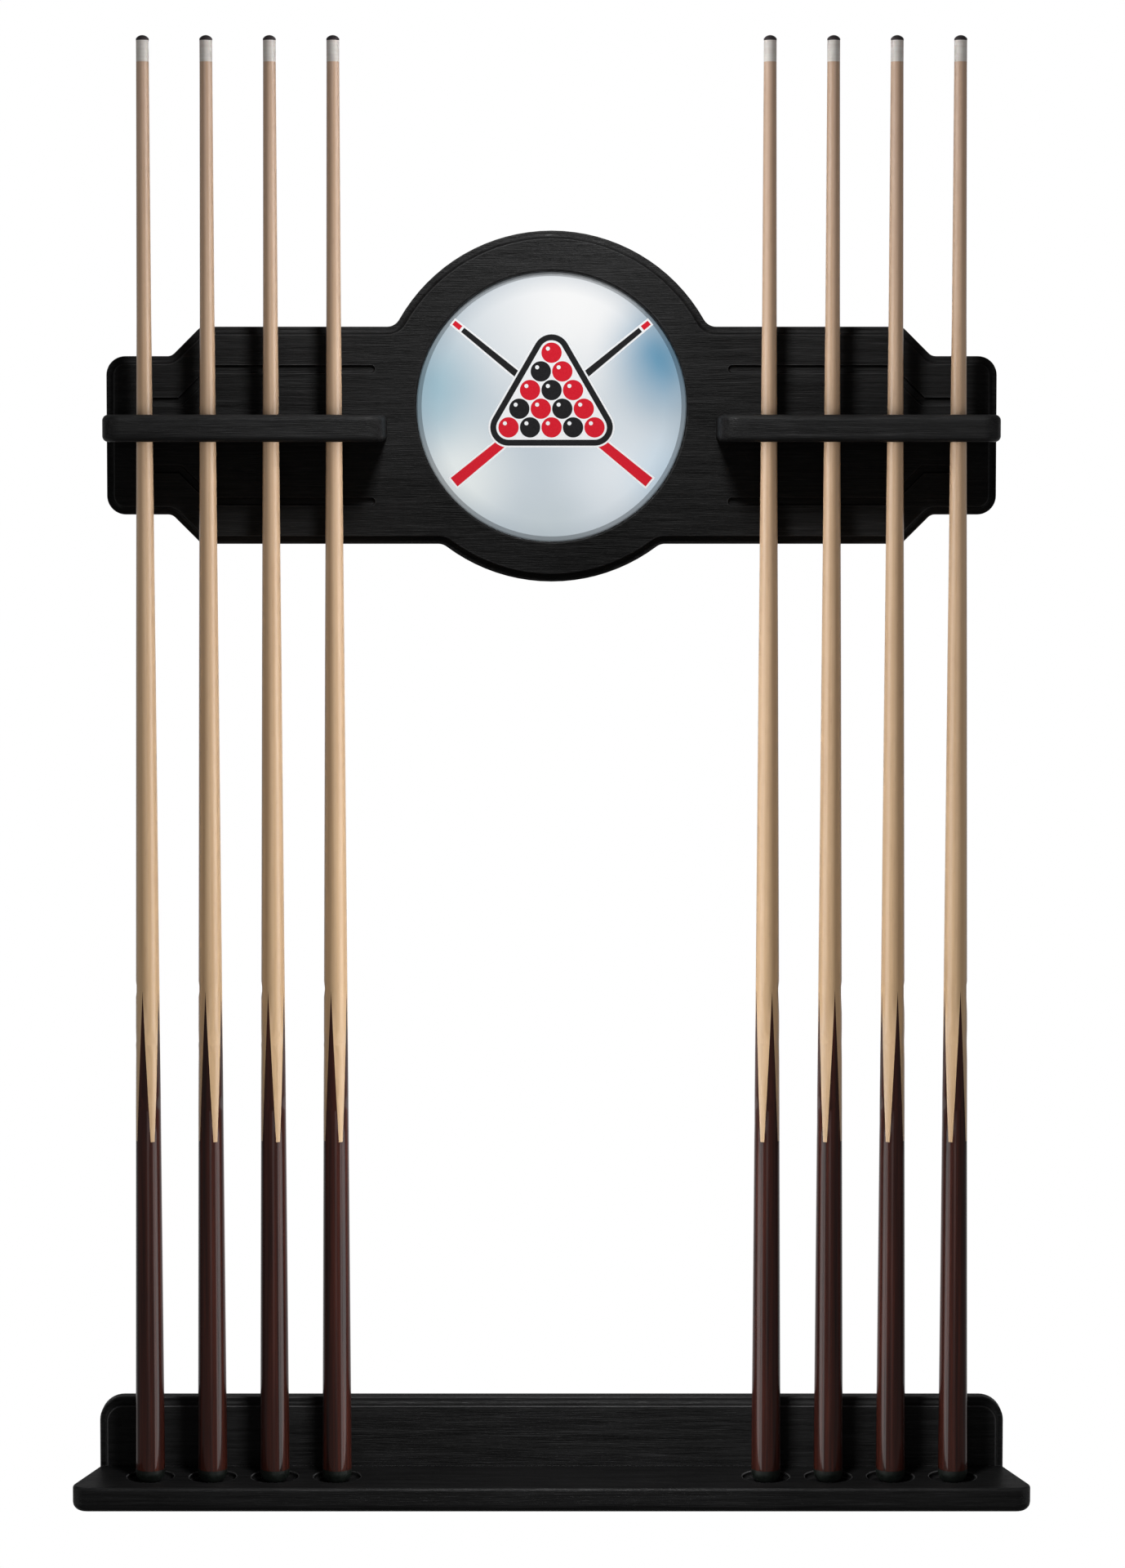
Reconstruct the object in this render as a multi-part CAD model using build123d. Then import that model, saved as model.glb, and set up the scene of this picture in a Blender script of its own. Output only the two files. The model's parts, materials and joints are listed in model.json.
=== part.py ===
from build123d import *
from math import atan2, cos, degrees, radians, sin
import os

# Wall cue rack with a round mirror: two wall boards, three shelves and eight one-piece cues.
#
# Frame: X to the right, Y into the wall, Z up.  The origin lies on the wall plane, on the centre
# line, level with the top of the lower shelf, so the whole rack is at Y <= 0.  Sizes are in
# millimetres.  "Off the wall" is the distance from the wall plane towards the room, which is -Y.

# ---- Cues: lengths run up from the butt end
cue_length = 1448.0
butt_end_diameter = 29.6
forearm_diameter = 19.5
forearm_below_tip = 618.0
taper_diameter = 14.6
taper_below_tip = 278.0
ferrule_diameter = 12.6
ferrule_length = 21.0
ferrule_tenon_diameter = 8.0
ferrule_tenon_length = 14.0
tip_diameter = 12.8
tip_side = 1.7
tip_dome_radius = 7.6
splice_base = 348.0
splice_length = 152.0
splice_half_width = 7.4
splice_turn = 20.0
bumper_height = 15.0
bumper_round = 12.0
bumper_stem_diameter = 10.0
bumper_stem_length = 12.0

# ---- Where the cues stand
cues_per_side = 4
inner_cue_x = 216.0
cue_pitch = 62.7
cue_off_wall = 57.0
cup_depth = 6.35
cup_clearance = 8.7
cup_floor_round = 3.0
hole_clearance = 4.6
rim_round = 1.0

# ---- Wall boards, both with the same moulded edge: a cove between two soft arrises
board_thickness = 19.0
edge_width = 8.0
edge_depth = 6.0
front_arris = 1.0
outer_arris = 1.5
edge_straight = 0.5

# ---- Upper board: a band with two end tabs and a round mirror frame
upper_centre_height = 1047.0
band_height = 218.0
tab_height = 159.0
tab_length = 65.5
tab_margin = 43.0
tab_corner_round = 19.0
band_corner_round = 10.0
frame_width = 40.5
frame_rise = 29.0
frame_fillet = 14.0

# ---- Decorative grooves in the upper board
groove_width = 8.4
groove_depth = 3.4
groove_floor_round = 2.4
groove_frame_gap = 5.0
groove_band_gap = 42.7
groove_tab_gap = 45.5
groove_shoulder_gap = 12.0
groove_end_gap = 45.0

# ---- Mirror, set in from the back of the upper board
mirror_opening = 271.0
mirror_lip = 7.0
mirror_clearance = 0.5
opening_round = 2.0
glass_thickness = 4.0
glass_bevel_width = 12.0
glass_bevel_drop = 1.2
glass_seat_gap = 0.05
backing_thickness = 3.0

# ---- Turn buttons that hold the mirror in
button_count = 4
button_length = 28.0
button_width = 12.0
button_thickness = 2.0
button_open_gap = 3.5
button_end_gap = 2.0
button_face_gap = 0.1
button_bore_gap = 0.05
button_arris = 0.4
button_recess = 6.0
button_screw_diameter = 3.0
button_screw_length = 9.0
button_head_diameter = 6.0
button_head_height = 1.8

# ---- Upper shelves
upper_shelf_rise = 7.0
upper_shelf_thickness = 27.0
upper_shelf_depth = 72.0
upper_shelf_inner_margin = 51.0
upper_shelf_outer_margin = 40.0
upper_shelf_corner = 18.0
upper_shelf_round = 6.0

# ---- Lower board and shelf
lower_board_rise = 69.5
lower_corner_round = 24.0
lower_shelf_thickness = 25.4
lower_shelf_depth = 82.0
lower_shelf_margin = 79.4
lower_shelf_splay = 23.4
lower_shelf_corner = 15.0
lower_shelf_top_round = 3.0
lower_shelf_bottom_round = 9.0

# ---- Wood screws and dowels that join the shelves to the boards
screw_diameter = 4.2
screw_head_diameter = 8.2
screw_length = 45.0
screw_head_sink = 0.3
screw_point = 5.0
screw_gap = 0.05
dowel_diameter = 8.0
dowel_length = 30.0
dowel_in_board = 14.0
dowel_gap = 0.05
dowel_past_cue = 24.0

# ---- Keyhole hanger plates let into the back of both boards
hanger_spacing = 406.4
hanger_length = 44.0
hanger_width = 18.0
hanger_thickness = 1.5
hanger_sink = 0.2
hanger_fit_gap = 0.3
hanger_entry_diameter = 10.0
hanger_slot_width = 5.2
hanger_entry_drop = 5.0
hanger_slot_rise = 7.0
hanger_pocket_width = 12.0
hanger_pocket_depth = 8.0
hanger_screw_offset = 17.0
hanger_screw_diameter = 2.8
hanger_screw_head = 5.6
hanger_screw_length = 14.0
hanger_screw_point = 3.0
upper_hanger_drop = 34.0
lower_hanger_drop = 17.5

# ---- Sizes that follow from the ones above
past_surface = 1.0
same_size = 0.01
lower_shelf_middle = -lower_shelf_thickness / 2
cue_xs = [inner_cue_x + number * cue_pitch for number in range(cues_per_side)]
outer_cue_x = cue_xs[-1]
upper_half_length = outer_cue_x + tab_margin
shoulder_run = (band_height - tab_height) / 2
band_half_length = upper_half_length - tab_length - shoulder_run
mirror_height = upper_centre_height + frame_rise
opening_radius = mirror_opening / 2
frame_radius = opening_radius + frame_width
glass_radius = opening_radius + mirror_lip
glass_back = button_recess + backing_thickness
glass_front = glass_back + glass_thickness
button_pivot_radius = glass_radius + button_open_gap + button_width / 2
button_recess_radius = button_pivot_radius + button_length / 2 + button_end_gap
button_front = button_recess - button_face_gap
button_back = button_front - button_thickness
button_head_front = button_back - button_face_gap
lower_shelf_half_length = outer_cue_x + lower_shelf_margin
lower_board_half_length = lower_shelf_half_length - lower_shelf_splay
upper_shelf_height = upper_centre_height + upper_shelf_rise
upper_hanger_height = upper_centre_height + band_height / 2 - upper_hanger_drop - hanger_length / 2
lower_hanger_height = lower_board_rise - lower_hanger_drop - hanger_length / 2
splice_top = splice_base + splice_length


# ---- General shapes
def off_wall(sketch, back, front):
    """Push a sketch drawn on the wall, in X and Z, from one distance off the wall to another."""
    return extrude(Plane.XZ.offset(back) * sketch, amount=front - back)


def turned_off_wall(points, x, z):
    """Turn a closed outline of (radius, distance off the wall) about a line square to the wall."""
    plane = Plane(origin=(x, 0, z), x_dir=(1, 0, 0), z_dir=(0, 0, -1))
    return revolve(plane * make_face(Polyline(*points, close=True)), axis=Axis((x, 0, z), (0, 1, 0)))


def turned_upright(points):
    """Turn a closed outline of (radius, height) about the Z axis."""
    return revolve(Plane.XZ * make_face(Polyline(*points, close=True)), axis=Axis.Z)


def capsule(start, end, width):
    """A round-ended strip between two points."""
    middle = (Vector(*start) + Vector(*end)) / 2
    run = Vector(*end) - Vector(*start)
    strip = SlotCenterToCenter(run.length, width)
    return Pos(middle.X, middle.Y) * Rot(Z=degrees(atan2(run.Y, run.X))) * strip


def both_sides(x_values):
    """The same distances to the left and to the right of the centre line."""
    return [side * x for side in (-1, 1) for x in x_values]


def cut_all(solid, cutters):
    for cutter in cutters:
        solid = solid - cutter
    return solid


def round_edges(solid, radius, axis, place):
    """Circular edges of one radius that lie at one place along an axis."""
    edges = solid.edges().filter_by(GeomType.CIRCLE)
    edges = edges.filter_by_position(axis, place - same_size, place + same_size)
    return [edge for edge in edges if abs(edge.radius - radius) < same_size]


# ---- Fasteners
def countersunk(x, z, seat, head_radius, shank_radius, length, point):
    """A countersunk screw driven towards the room; its flat head lies at seat, off the wall."""
    neck = seat + head_radius - shank_radius
    end = seat + length
    outline = [(0, seat), (head_radius, seat), (shank_radius, neck), (shank_radius, end - point), (0, end)]
    return turned_off_wall(outline, x, z)


def screw_mouth(x, z, seat, radius):
    """The way in from the wall side to a countersunk head."""
    return off_wall(Pos(x, z) * Circle(radius), -past_surface, seat)


def shelf_screw(x, z, gap=0.0):
    head, shank = screw_head_diameter / 2 + gap, screw_diameter / 2 + gap
    return countersunk(x, z, screw_head_sink, head, shank, screw_length + gap, screw_point)


def shelf_screw_hole(x, z):
    mouth = screw_mouth(x, z, screw_head_sink, screw_head_diameter / 2 + screw_gap)
    return mouth + shelf_screw(x, z, screw_gap)


def dowel(x, z, gap=0.0):
    start = board_thickness - dowel_in_board - gap
    return off_wall(Pos(x, z) * Circle(dowel_diameter / 2 + gap), start, start + dowel_length + 2 * gap)


def hanger_screw(x, z, gap=0.0):
    head, shank = hanger_screw_head / 2 + gap, hanger_screw_diameter / 2 + gap
    return countersunk(x, z, hanger_sink, head, shank, hanger_screw_length + gap, hanger_screw_point)


def hanger_screw_hole(x, z):
    mouth = screw_mouth(x, z, hanger_sink, hanger_screw_head / 2 + screw_gap)
    return mouth + hanger_screw(x, z, screw_gap)


def button_screw(x, z):
    """A round-head screw; its head stands off the turn button by a running gap."""
    head, shank = button_head_diameter / 2, button_screw_diameter / 2
    top = button_head_front - button_head_height
    end = button_head_front + button_screw_length
    crown = head / 2
    outline = [(0, top), (crown, top), (head, top + crown / 2), (head, button_head_front)]
    outline += [(shank, button_head_front), (shank, end - shank), (0, end)]
    return turned_off_wall(outline, x, z)


def button_screw_hole(x, z):
    radius = button_screw_diameter / 2 + button_bore_gap
    end = button_head_front + button_screw_length + button_bore_gap
    return off_wall(Pos(x, z) * Circle(radius), 0, end)


# ---- Keyhole hangers
def keyhole(x, z, entry_width, slot_width):
    """A round entry with a narrower slot above it."""
    entry = (x, z - hanger_entry_drop)
    slot = capsule(entry, (x, z + hanger_slot_rise), slot_width)
    return slot + Pos(*entry) * Circle(entry_width / 2)


def hanger_outline(x, z, gap=0.0):
    reach = (hanger_length - hanger_width) / 2
    return capsule((x, z - reach), (x, z + reach), hanger_width + 2 * gap)


def hanger_screw_points(x, z):
    return [(x, z - hanger_screw_offset), (x, z + hanger_screw_offset)]


def hanger_plate(x, z):
    outline = hanger_outline(x, z) - keyhole(x, z, hanger_entry_diameter, hanger_slot_width)
    plate = off_wall(outline, hanger_sink, hanger_sink + hanger_thickness)
    return cut_all(plate, [hanger_screw_hole(*point) for point in hanger_screw_points(x, z)])


def hanger_recess(x, z):
    """The shallow seat of a plate, the deeper pocket behind its keyhole and its screw holes."""
    seat_front = hanger_sink + hanger_thickness
    seat = off_wall(hanger_outline(x, z, hanger_fit_gap), -past_surface, seat_front)
    pocket_outline = keyhole(x, z, hanger_pocket_width, hanger_pocket_width)
    pocket = off_wall(pocket_outline, 0, hanger_pocket_depth)
    return [seat, pocket] + [hanger_screw_hole(*point) for point in hanger_screw_points(x, z)]


# ---- Boards
def moulded_board(outline):
    """A board with a coved edge all round its front; the outline is drawn in X and Z."""
    step = board_thickness - edge_depth
    face = offset(outline, amount=-edge_width)
    board = off_wall(outline, 0, step) + off_wall(face, step, board_thickness)
    ledge = [face for face in board.faces().filter_by(Axis.Y) if face.inner_wires()][0]
    cove = edge_depth - front_arris - edge_straight
    board = fillet(ledge.inner_wires()[0].edges(), cove)
    board = fillet(board.faces().sort_by(Axis.Y)[0].outer_wire().edges(), front_arris)
    ledge = [face for face in board.faces().filter_by(Axis.Y) if face.inner_wires()][0]
    return fillet(ledge.outer_wire().edges(), outer_arris)


def upper_outline():
    """Band, shoulders at 45 degrees and tabs, joined to the round mirror frame."""
    shoulder = [(band_half_length, band_height / 2), (band_half_length + shoulder_run, tab_height / 2)]
    upper_right = shoulder + [(upper_half_length, tab_height / 2)]
    right = upper_right + [(x, -z) for x, z in reversed(upper_right)]
    band = make_face(Polyline(*right, *[(-x, -z) for x, z in right], close=True))
    past_shoulder = band_half_length + shoulder_run + past_surface
    tab_corners = [corner for corner in band.vertices() if abs(corner.X) > past_shoulder]
    band = fillet(tab_corners, tab_corner_round)
    shoulders = [corner for corner in band.vertices() if abs(corner.X) < past_shoulder]
    band = fillet(shoulders, band_corner_round)
    outline = band + Pos(0, frame_rise) * Circle(frame_radius)
    inner_corners = [corner for corner in outline.vertices() if abs(corner.X) < frame_radius]
    outline = fillet(inner_corners, frame_fillet)
    return Pos(0, upper_centre_height) * outline


def groove(side, up):
    """A round-bottomed groove that follows the shoulder of the band."""
    inner_z = band_height / 2 - groove_band_gap
    outer_z = tab_height / 2 - groove_tab_gap
    bend_x = band_half_length - groove_shoulder_gap
    run = [(frame_radius + groove_frame_gap, inner_z), (bend_x, inner_z)]
    run += [(bend_x + inner_z - outer_z, outer_z), (upper_half_length - groove_end_gap, outer_z)]
    points = [(side * x, upper_centre_height + up * z) for x, z in run]
    strip = Sketch() + [capsule(start, end, groove_width) for start, end in zip(points, points[1:])]
    cutter = off_wall(strip, board_thickness - groove_depth, board_thickness + past_surface)
    return fillet(cutter.faces().sort_by(Axis.Y)[-1].outer_wire().edges(), groove_floor_round)


def button_angles():
    return [(number + 0.5) * 360 / button_count for number in range(button_count)]


def button_pivot(angle):
    x = button_pivot_radius * cos(radians(angle))
    return x, mirror_height + button_pivot_radius * sin(radians(angle))


def bevel_drop_at(radius):
    """How far the glass's bevel has fallen back from its flat front at a radius."""
    return (radius - glass_radius + glass_bevel_width) * glass_bevel_drop / glass_bevel_width


def mirror_cuts():
    centre = Pos(0, mirror_height)
    lip_back = glass_front - bevel_drop_at(opening_radius) + glass_seat_gap
    opening = off_wall(centre * Circle(opening_radius), 0, board_thickness + past_surface)
    rabbet = off_wall(centre * Circle(glass_radius + mirror_clearance), -past_surface, lip_back)
    recess = off_wall(centre * Circle(button_recess_radius), -past_surface, button_recess)
    return [opening, rabbet, recess]


def shelf_fastener_xs(side):
    """Screws lie midway in the first and last gap between cues, dowels in the middle and at the end."""
    middles = [(first + second) / 2 for first, second in zip(cue_xs, cue_xs[1:])]
    screws = [side * middles[0], side * middles[-1]]
    dowels = [side * middles[len(middles) // 2], side * (outer_cue_x + dowel_past_cue)]
    return screws, dowels


def shelf_joint_points(height):
    """Places of the screws and dowels, to the left and to the right, at one height."""
    screws, dowels = [], []
    for side in (-1, 1):
        screw_xs, dowel_xs = shelf_fastener_xs(side)
        screws += [(x, height) for x in screw_xs]
        dowels += [(x, height) for x in dowel_xs]
    return screws, dowels


def shelf_joint_holes(points):
    screws, dowels = points
    holes = [shelf_screw_hole(*point) for point in screws]
    return holes + [dowel(*point, gap=dowel_gap) for point in dowels]


upper_joints = shelf_joint_points(upper_shelf_height)
lower_joints = shelf_joint_points(lower_shelf_middle)
lower_joints[0].append((0, lower_shelf_middle))
upper_hangers = [(x, upper_hanger_height) for x in both_sides([hanger_spacing / 2])]
lower_hangers = [(x, lower_hanger_height) for x in both_sides([hanger_spacing / 2])]


def upper_board():
    board = cut_all(moulded_board(upper_outline()), mirror_cuts())
    board = fillet(round_edges(board, opening_radius, Axis.Y, -board_thickness), opening_round)
    cutters = [groove(side, up) for side in (-1, 1) for up in (-1, 1)]
    cutters += [button_screw_hole(*button_pivot(angle)) for angle in button_angles()]
    cutters += shelf_joint_holes(upper_joints)
    for hanger in upper_hangers:
        cutters += hanger_recess(*hanger)
    return cut_all(board, cutters)


def lower_board():
    """Its moulding runs out at the bottom, where the board is cut off level with the shelf."""
    top = lower_board_rise
    bottom = -lower_shelf_thickness - 2 * edge_width
    outline = Pos(0, (top + bottom) / 2) * Rectangle(2 * lower_board_half_length, top - bottom)
    corners = outline.vertices().sort_by(Axis.Y)[-2:]
    board = moulded_board(fillet(corners, lower_corner_round))
    board = split(board, bisect_by=Plane.XY.offset(-lower_shelf_thickness), keep=Keep.TOP)
    cutters = shelf_joint_holes(lower_joints)
    for hanger in lower_hangers:
        cutters += hanger_recess(*hanger)
    return cut_all(board, cutters)


# ---- Mirror
def mirror_glass():
    edge = glass_front - glass_bevel_drop
    outline = [(0, glass_back), (glass_radius, glass_back), (glass_radius, edge)]
    outline += [(glass_radius - glass_bevel_width, glass_front), (0, glass_front)]
    return turned_off_wall(outline, 0, mirror_height)


def mirror_backing():
    return off_wall(Pos(0, mirror_height) * Circle(glass_radius), button_recess, glass_back)


def turn_button(angle):
    """At rest it points at the mirror's centre and laps over the backing."""
    reach = (button_length - button_width) / 2
    bore = Circle(button_screw_diameter / 2 + button_bore_gap)
    outline = capsule((-reach, 0), (reach, 0), button_width) - bore
    outline = Pos(*button_pivot(angle)) * Rot(Z=angle) * outline
    button = off_wall(outline, button_back, button_front)
    return fillet(button.faces().sort_by(Axis.Y)[-1].outer_wire().edges(), button_arris)


# ---- Shelves
def cue_diameter(height):
    """Diameter of a cue at a height above its butt end."""
    stations = cue_stations()
    for (low, wide), (high, narrow) in zip(stations, stations[1:]):
        if height <= high:
            return wide + (narrow - wide) * (height - low) / (high - low)
    return stations[-1][1]


def cue_stations():
    """Height above the butt end and diameter, where the taper changes."""
    forearm = (cue_length - forearm_below_tip, forearm_diameter)
    taper = (cue_length - taper_below_tip, taper_diameter)
    return [(0, butt_end_diameter), forearm, taper, (ferrule_base(), ferrule_diameter)]


def tip_height():
    half = tip_diameter / 2
    return tip_side + tip_dome_radius - (tip_dome_radius ** 2 - half ** 2) ** 0.5


def ferrule_base():
    return cue_length - tip_height() - ferrule_length


def round_over(shelf, top_round, bottom_round):
    """Soften the long top and bottom edges of a shelf, but not where it meets its board."""
    board_face = -board_thickness - same_size
    top = shelf.faces().sort_by(Axis.Z)[-1]
    shelf = fillet([edge for edge in top.edges() if edge.center().Y < board_face], top_round)
    bottom = shelf.faces().sort_by(Axis.Z)[0]
    return fillet([edge for edge in bottom.edges() if edge.center().Y < board_face], bottom_round)


def upper_shelf(side):
    """A shelf with a through hole for each cue of its side."""
    inner = inner_cue_x - upper_shelf_inner_margin
    outer = outer_cue_x + upper_shelf_outer_margin
    middle = -board_thickness - upper_shelf_depth / 2
    plan = Pos(side * (inner + outer) / 2, middle) * Rectangle(outer - inner, upper_shelf_depth)
    plan = fillet(plan.vertices().sort_by(Axis.Y)[:2], upper_shelf_corner)
    bottom = upper_shelf_height - upper_shelf_thickness / 2
    shelf = extrude(Pos(0, 0, bottom) * plan, amount=upper_shelf_thickness)
    shelf = round_over(shelf, upper_shelf_round, upper_shelf_round)
    radius = cue_diameter(upper_shelf_height + cup_depth) / 2 + hole_clearance
    hole = Cylinder(radius, 2 * upper_shelf_thickness)
    shelf = cut_all(shelf, [Pos(side * x, -cue_off_wall, upper_shelf_height) * hole for x in cue_xs])
    rims = round_edges(shelf, radius, Axis.Z, bottom)
    rims += round_edges(shelf, radius, Axis.Z, bottom + upper_shelf_thickness)
    shelf = fillet(rims, rim_round)
    screws, dowels = upper_joints
    own_side = [[point for point in points if point[0] * side > 0] for points in (screws, dowels)]
    return cut_all(shelf, shelf_joint_holes(own_side))


def lower_shelf():
    """A shelf with splayed ends and a shallow round cup for each butt."""
    front = -board_thickness - lower_shelf_depth
    back_corner = (lower_board_half_length, -board_thickness)
    front_corner = (lower_shelf_half_length, front)
    corners = [back_corner, front_corner, (-front_corner[0], front), (-back_corner[0], -board_thickness)]
    plan = make_face(Polyline(*corners, close=True))
    plan = fillet(plan.vertices().sort_by(Axis.Y)[:2], lower_shelf_corner)
    shelf = extrude(Pos(0, 0, -lower_shelf_thickness) * plan, amount=lower_shelf_thickness)
    shelf = round_over(shelf, lower_shelf_top_round, lower_shelf_bottom_round)
    cup_radius = butt_end_diameter / 2 + cup_clearance
    cup = Cylinder(cup_radius, 2 * cup_depth)
    cup = fillet(cup.edges().sort_by(Axis.Z)[0], cup_floor_round)
    shelf = cut_all(shelf, [Pos(x, -cue_off_wall, 0) * cup for x in both_sides(cue_xs)])
    shelf = fillet(round_edges(shelf, cup_radius, Axis.Z, 0), rim_round)
    return cut_all(shelf, shelf_joint_holes(lower_joints))


# ---- Cues, made with the butt end at the origin
def splice_cross():
    """Two crossed wedges: the dark spikes of the butt, widest at the splice's base."""
    triangle = [(-splice_half_width, splice_base), (splice_half_width, splice_base), (0, splice_top)]
    face = Plane.XZ * make_face(Polyline(*triangle, close=True))
    wedge = extrude(face, amount=butt_end_diameter, both=True)
    return Rot(Z=-splice_turn) * (wedge + Rot(Z=90) * wedge)


def tapered(bottom, top):
    """The cue's own taper between two heights."""
    heights = [bottom] + [height for height, _ in cue_stations() if bottom < height < top] + [top]
    side = [(cue_diameter(height) / 2, height) for height in heights]
    return turned_upright([(0, bottom)] + side + [(0, top)])


def cue_tip():
    base = cue_length - tip_height()
    half = tip_diameter / 2
    blank = Pos(0, 0, base) * Cylinder(half, tip_height(), align=(Align.CENTER, Align.CENTER, Align.MIN))
    return blank & Pos(0, 0, cue_length - tip_dome_radius) * Sphere(tip_dome_radius)


def cue_ferrule():
    top = cue_length - tip_height()
    base = ferrule_base()
    radius = ferrule_diameter / 2
    bore = ferrule_tenon_diameter / 2 + screw_gap
    bore_top = base + ferrule_tenon_length + screw_gap
    outside = [(bore, base), (radius, base), (radius, top), (0, top)]
    return turned_upright(outside + [(0, bore_top), (bore, bore_top)])


def cue_shaft():
    base = ferrule_base()
    tenon = Pos(0, 0, base) * Cylinder(
        ferrule_tenon_diameter / 2, ferrule_tenon_length, align=(Align.CENTER, Align.CENTER, Align.MIN))
    return tapered(splice_base, base) - splice_cross() + tenon


def cue_butt():
    stem_bore = Pos(0, 0, bumper_height) * Cylinder(
        bumper_stem_diameter / 2 + screw_gap, bumper_stem_length + screw_gap,
        align=(Align.CENTER, Align.CENTER, Align.MIN))
    spikes = tapered(splice_base, splice_top) & splice_cross()
    return tapered(bumper_height, splice_base) + spikes - stem_bore


def cue_bumper():
    disc = tapered(0, bumper_height)
    disc = fillet(disc.edges().filter_by(GeomType.CIRCLE).sort_by(Axis.Z)[0], bumper_round)
    return disc + Pos(0, 0, bumper_height) * Cylinder(
        bumper_stem_diameter / 2, bumper_stem_length, align=(Align.CENTER, Align.CENTER, Align.MIN))


# ---- Every piece by name
def cue_pieces():
    """Cues 1 to 4 stand on the left, from the outside in, and 5 to 8 on the right, from the inside out."""
    pattern = {"tip": cue_tip(), "ferrule": cue_ferrule(), "shaft": cue_shaft(), "butt": cue_butt()}
    pattern["bumper"] = cue_bumper()
    pieces = {}
    for number, x in enumerate(sorted(both_sides(cue_xs)), start=1):
        for name, piece in pattern.items():
            shape = piece if x < 0 else mirror(piece, about=Plane.YZ)
            pieces[f"cue_{number}_{name}"] = Pos(x, -cue_off_wall, -cup_depth) * shape
    return pieces


def rack_pieces():
    hangers = upper_hangers + lower_hangers
    hanger_screws = [point for hanger in hangers for point in hanger_screw_points(*hanger)]
    pieces = {
        "upper_board": upper_board(),
        "upper_shelf_left": upper_shelf(-1),
        "upper_shelf_right": upper_shelf(1),
        "upper_shelf_screws": Compound([shelf_screw(*point) for point in upper_joints[0]]),
        "upper_shelf_dowels": Compound([dowel(*point) for point in upper_joints[1]]),
        "mirror_glass": mirror_glass(),
        "mirror_backing": mirror_backing(),
        "turn_button_screws": Compound([button_screw(*button_pivot(angle)) for angle in button_angles()]),
        "lower_board": lower_board(),
        "lower_shelf": lower_shelf(),
        "lower_shelf_screws": Compound([shelf_screw(*point) for point in lower_joints[0]]),
        "lower_shelf_dowels": Compound([dowel(*point) for point in lower_joints[1]]),
        "upper_keyhole_plates": Compound([hanger_plate(*hanger) for hanger in upper_hangers]),
        "lower_keyhole_plates": Compound([hanger_plate(*hanger) for hanger in lower_hangers]),
        "keyhole_plate_screws": Compound([hanger_screw(*point) for point in hanger_screws]),
    }
    for number, angle in enumerate(button_angles(), start=1):
        pieces[f"turn_button_{number}"] = turn_button(angle)
    return pieces


os.makedirs("parts", exist_ok=True)
for node, shape in {**rack_pieces(), **cue_pieces()}.items():
    export_step(shape, f"parts/{node}.step")
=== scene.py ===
import json
import math

import bmesh
import bpy
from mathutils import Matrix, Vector


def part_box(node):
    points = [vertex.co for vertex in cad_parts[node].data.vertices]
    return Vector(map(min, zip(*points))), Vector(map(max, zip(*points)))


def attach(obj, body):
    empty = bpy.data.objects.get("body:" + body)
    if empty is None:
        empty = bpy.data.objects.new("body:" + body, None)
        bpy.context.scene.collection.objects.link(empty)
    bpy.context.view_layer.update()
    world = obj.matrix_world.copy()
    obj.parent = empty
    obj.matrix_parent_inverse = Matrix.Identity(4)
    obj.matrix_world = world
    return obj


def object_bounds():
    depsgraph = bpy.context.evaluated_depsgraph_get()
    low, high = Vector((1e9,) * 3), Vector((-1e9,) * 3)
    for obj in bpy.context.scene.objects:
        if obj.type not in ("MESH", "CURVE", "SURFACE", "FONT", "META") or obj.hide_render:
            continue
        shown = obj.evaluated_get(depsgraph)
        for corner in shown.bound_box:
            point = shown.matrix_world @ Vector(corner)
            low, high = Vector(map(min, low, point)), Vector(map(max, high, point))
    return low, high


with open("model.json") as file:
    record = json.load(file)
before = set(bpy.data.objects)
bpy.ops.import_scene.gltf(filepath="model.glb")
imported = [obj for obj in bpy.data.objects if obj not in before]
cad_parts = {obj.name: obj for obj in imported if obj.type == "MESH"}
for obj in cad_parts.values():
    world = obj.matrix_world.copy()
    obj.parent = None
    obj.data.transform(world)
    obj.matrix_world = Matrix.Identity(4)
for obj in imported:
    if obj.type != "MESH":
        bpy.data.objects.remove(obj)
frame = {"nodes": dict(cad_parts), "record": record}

# Looks of the wall cue rack: satin black boards and shelves, a bevelled mirror with a sky reflection
# painted into its colour and a printed billiards emblem, lacquered cues and plated hardware.
# Lengths are metres, X to the right, Y into the wall, Z up.

CAD_LOW, CAD_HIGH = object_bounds()
MM = 0.001


# ---- Camera
CAMERA_DISTANCE = 3.75
CAMERA_HEIGHT = 1.049
CAMERA_PITCH = math.radians(3)
CAMERA_LENS = 85.3
CAMERA_SHIFT = (0.007, -0.0994)


def make_camera():
    data = bpy.data.cameras.new("camera")
    data.lens = CAMERA_LENS
    data.shift_x, data.shift_y = CAMERA_SHIFT
    camera = bpy.data.objects.new("camera", data)
    camera.location = (0, -CAMERA_DISTANCE, CAMERA_HEIGHT)
    camera.rotation_euler = (math.pi / 2 - CAMERA_PITCH, 0, 0)
    bpy.context.scene.collection.objects.link(camera)
    bpy.context.scene.camera = camera


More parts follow.
